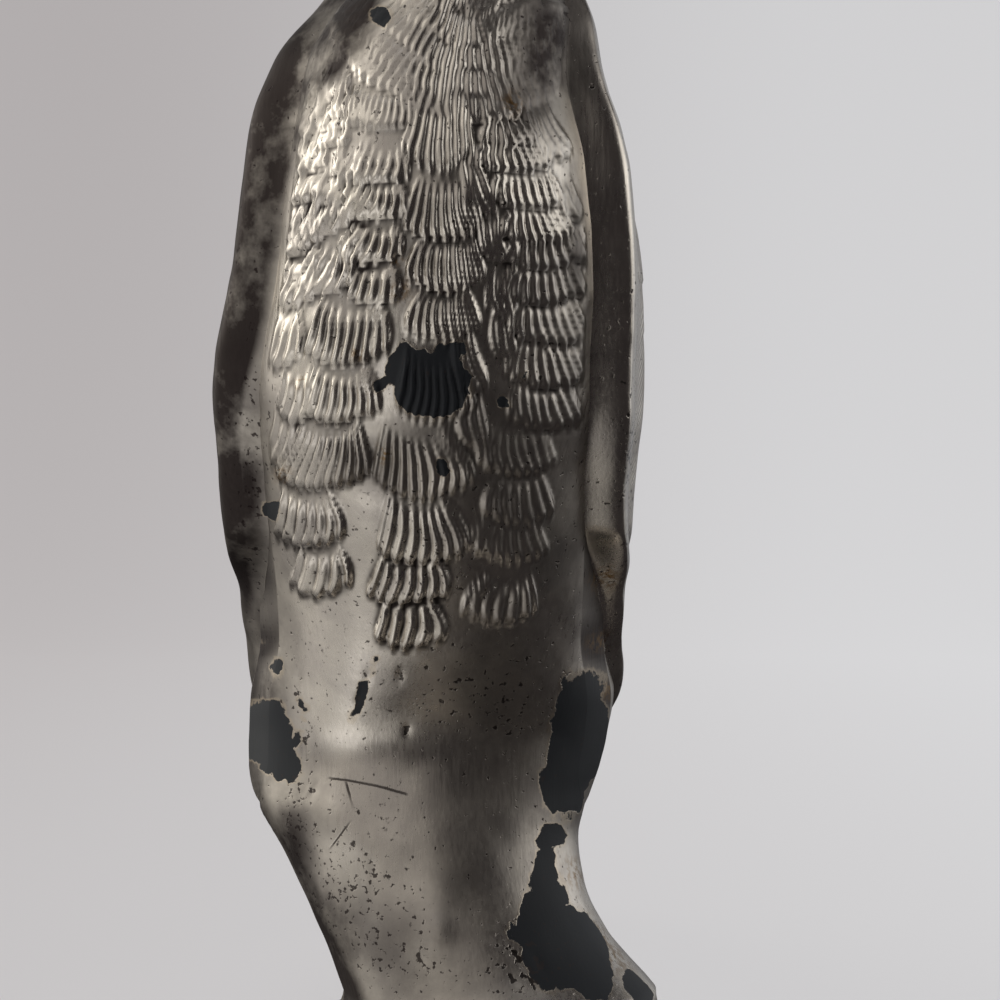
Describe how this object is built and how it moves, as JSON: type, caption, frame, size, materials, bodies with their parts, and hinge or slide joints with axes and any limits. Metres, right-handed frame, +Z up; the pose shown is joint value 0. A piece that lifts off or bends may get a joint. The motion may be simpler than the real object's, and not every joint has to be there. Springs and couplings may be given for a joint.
{
  "type": "metal pheasant figurine",
  "caption": "Silver-plated cast cock pheasant standing upright on a low ground, chased breast feathers, folded wings at the sides and a long tail behind.",
  "frame": {"origin": "middle of the flat underside of the cast ground", "axes": "+Z up; -Y the way the breast and the beak face; +Y the way the tail runs; +X the bird's own left"},
  "size_m": [0.082, 0.2089, 0.1876],
  "materials": {
    "silver_plate": "worn silver plate, dark in the grooves, with matte blue-black patches where the plate is gone",
    "wing_plate": "worn silver plate, smooth along the front edges, dirt in the seams"
  },
  "bodies": {
    "root": {"body": "silver_plate", "left_wing": "wing_plate", "right_wing": "wing_plate"}
  },
  "joints": []
}
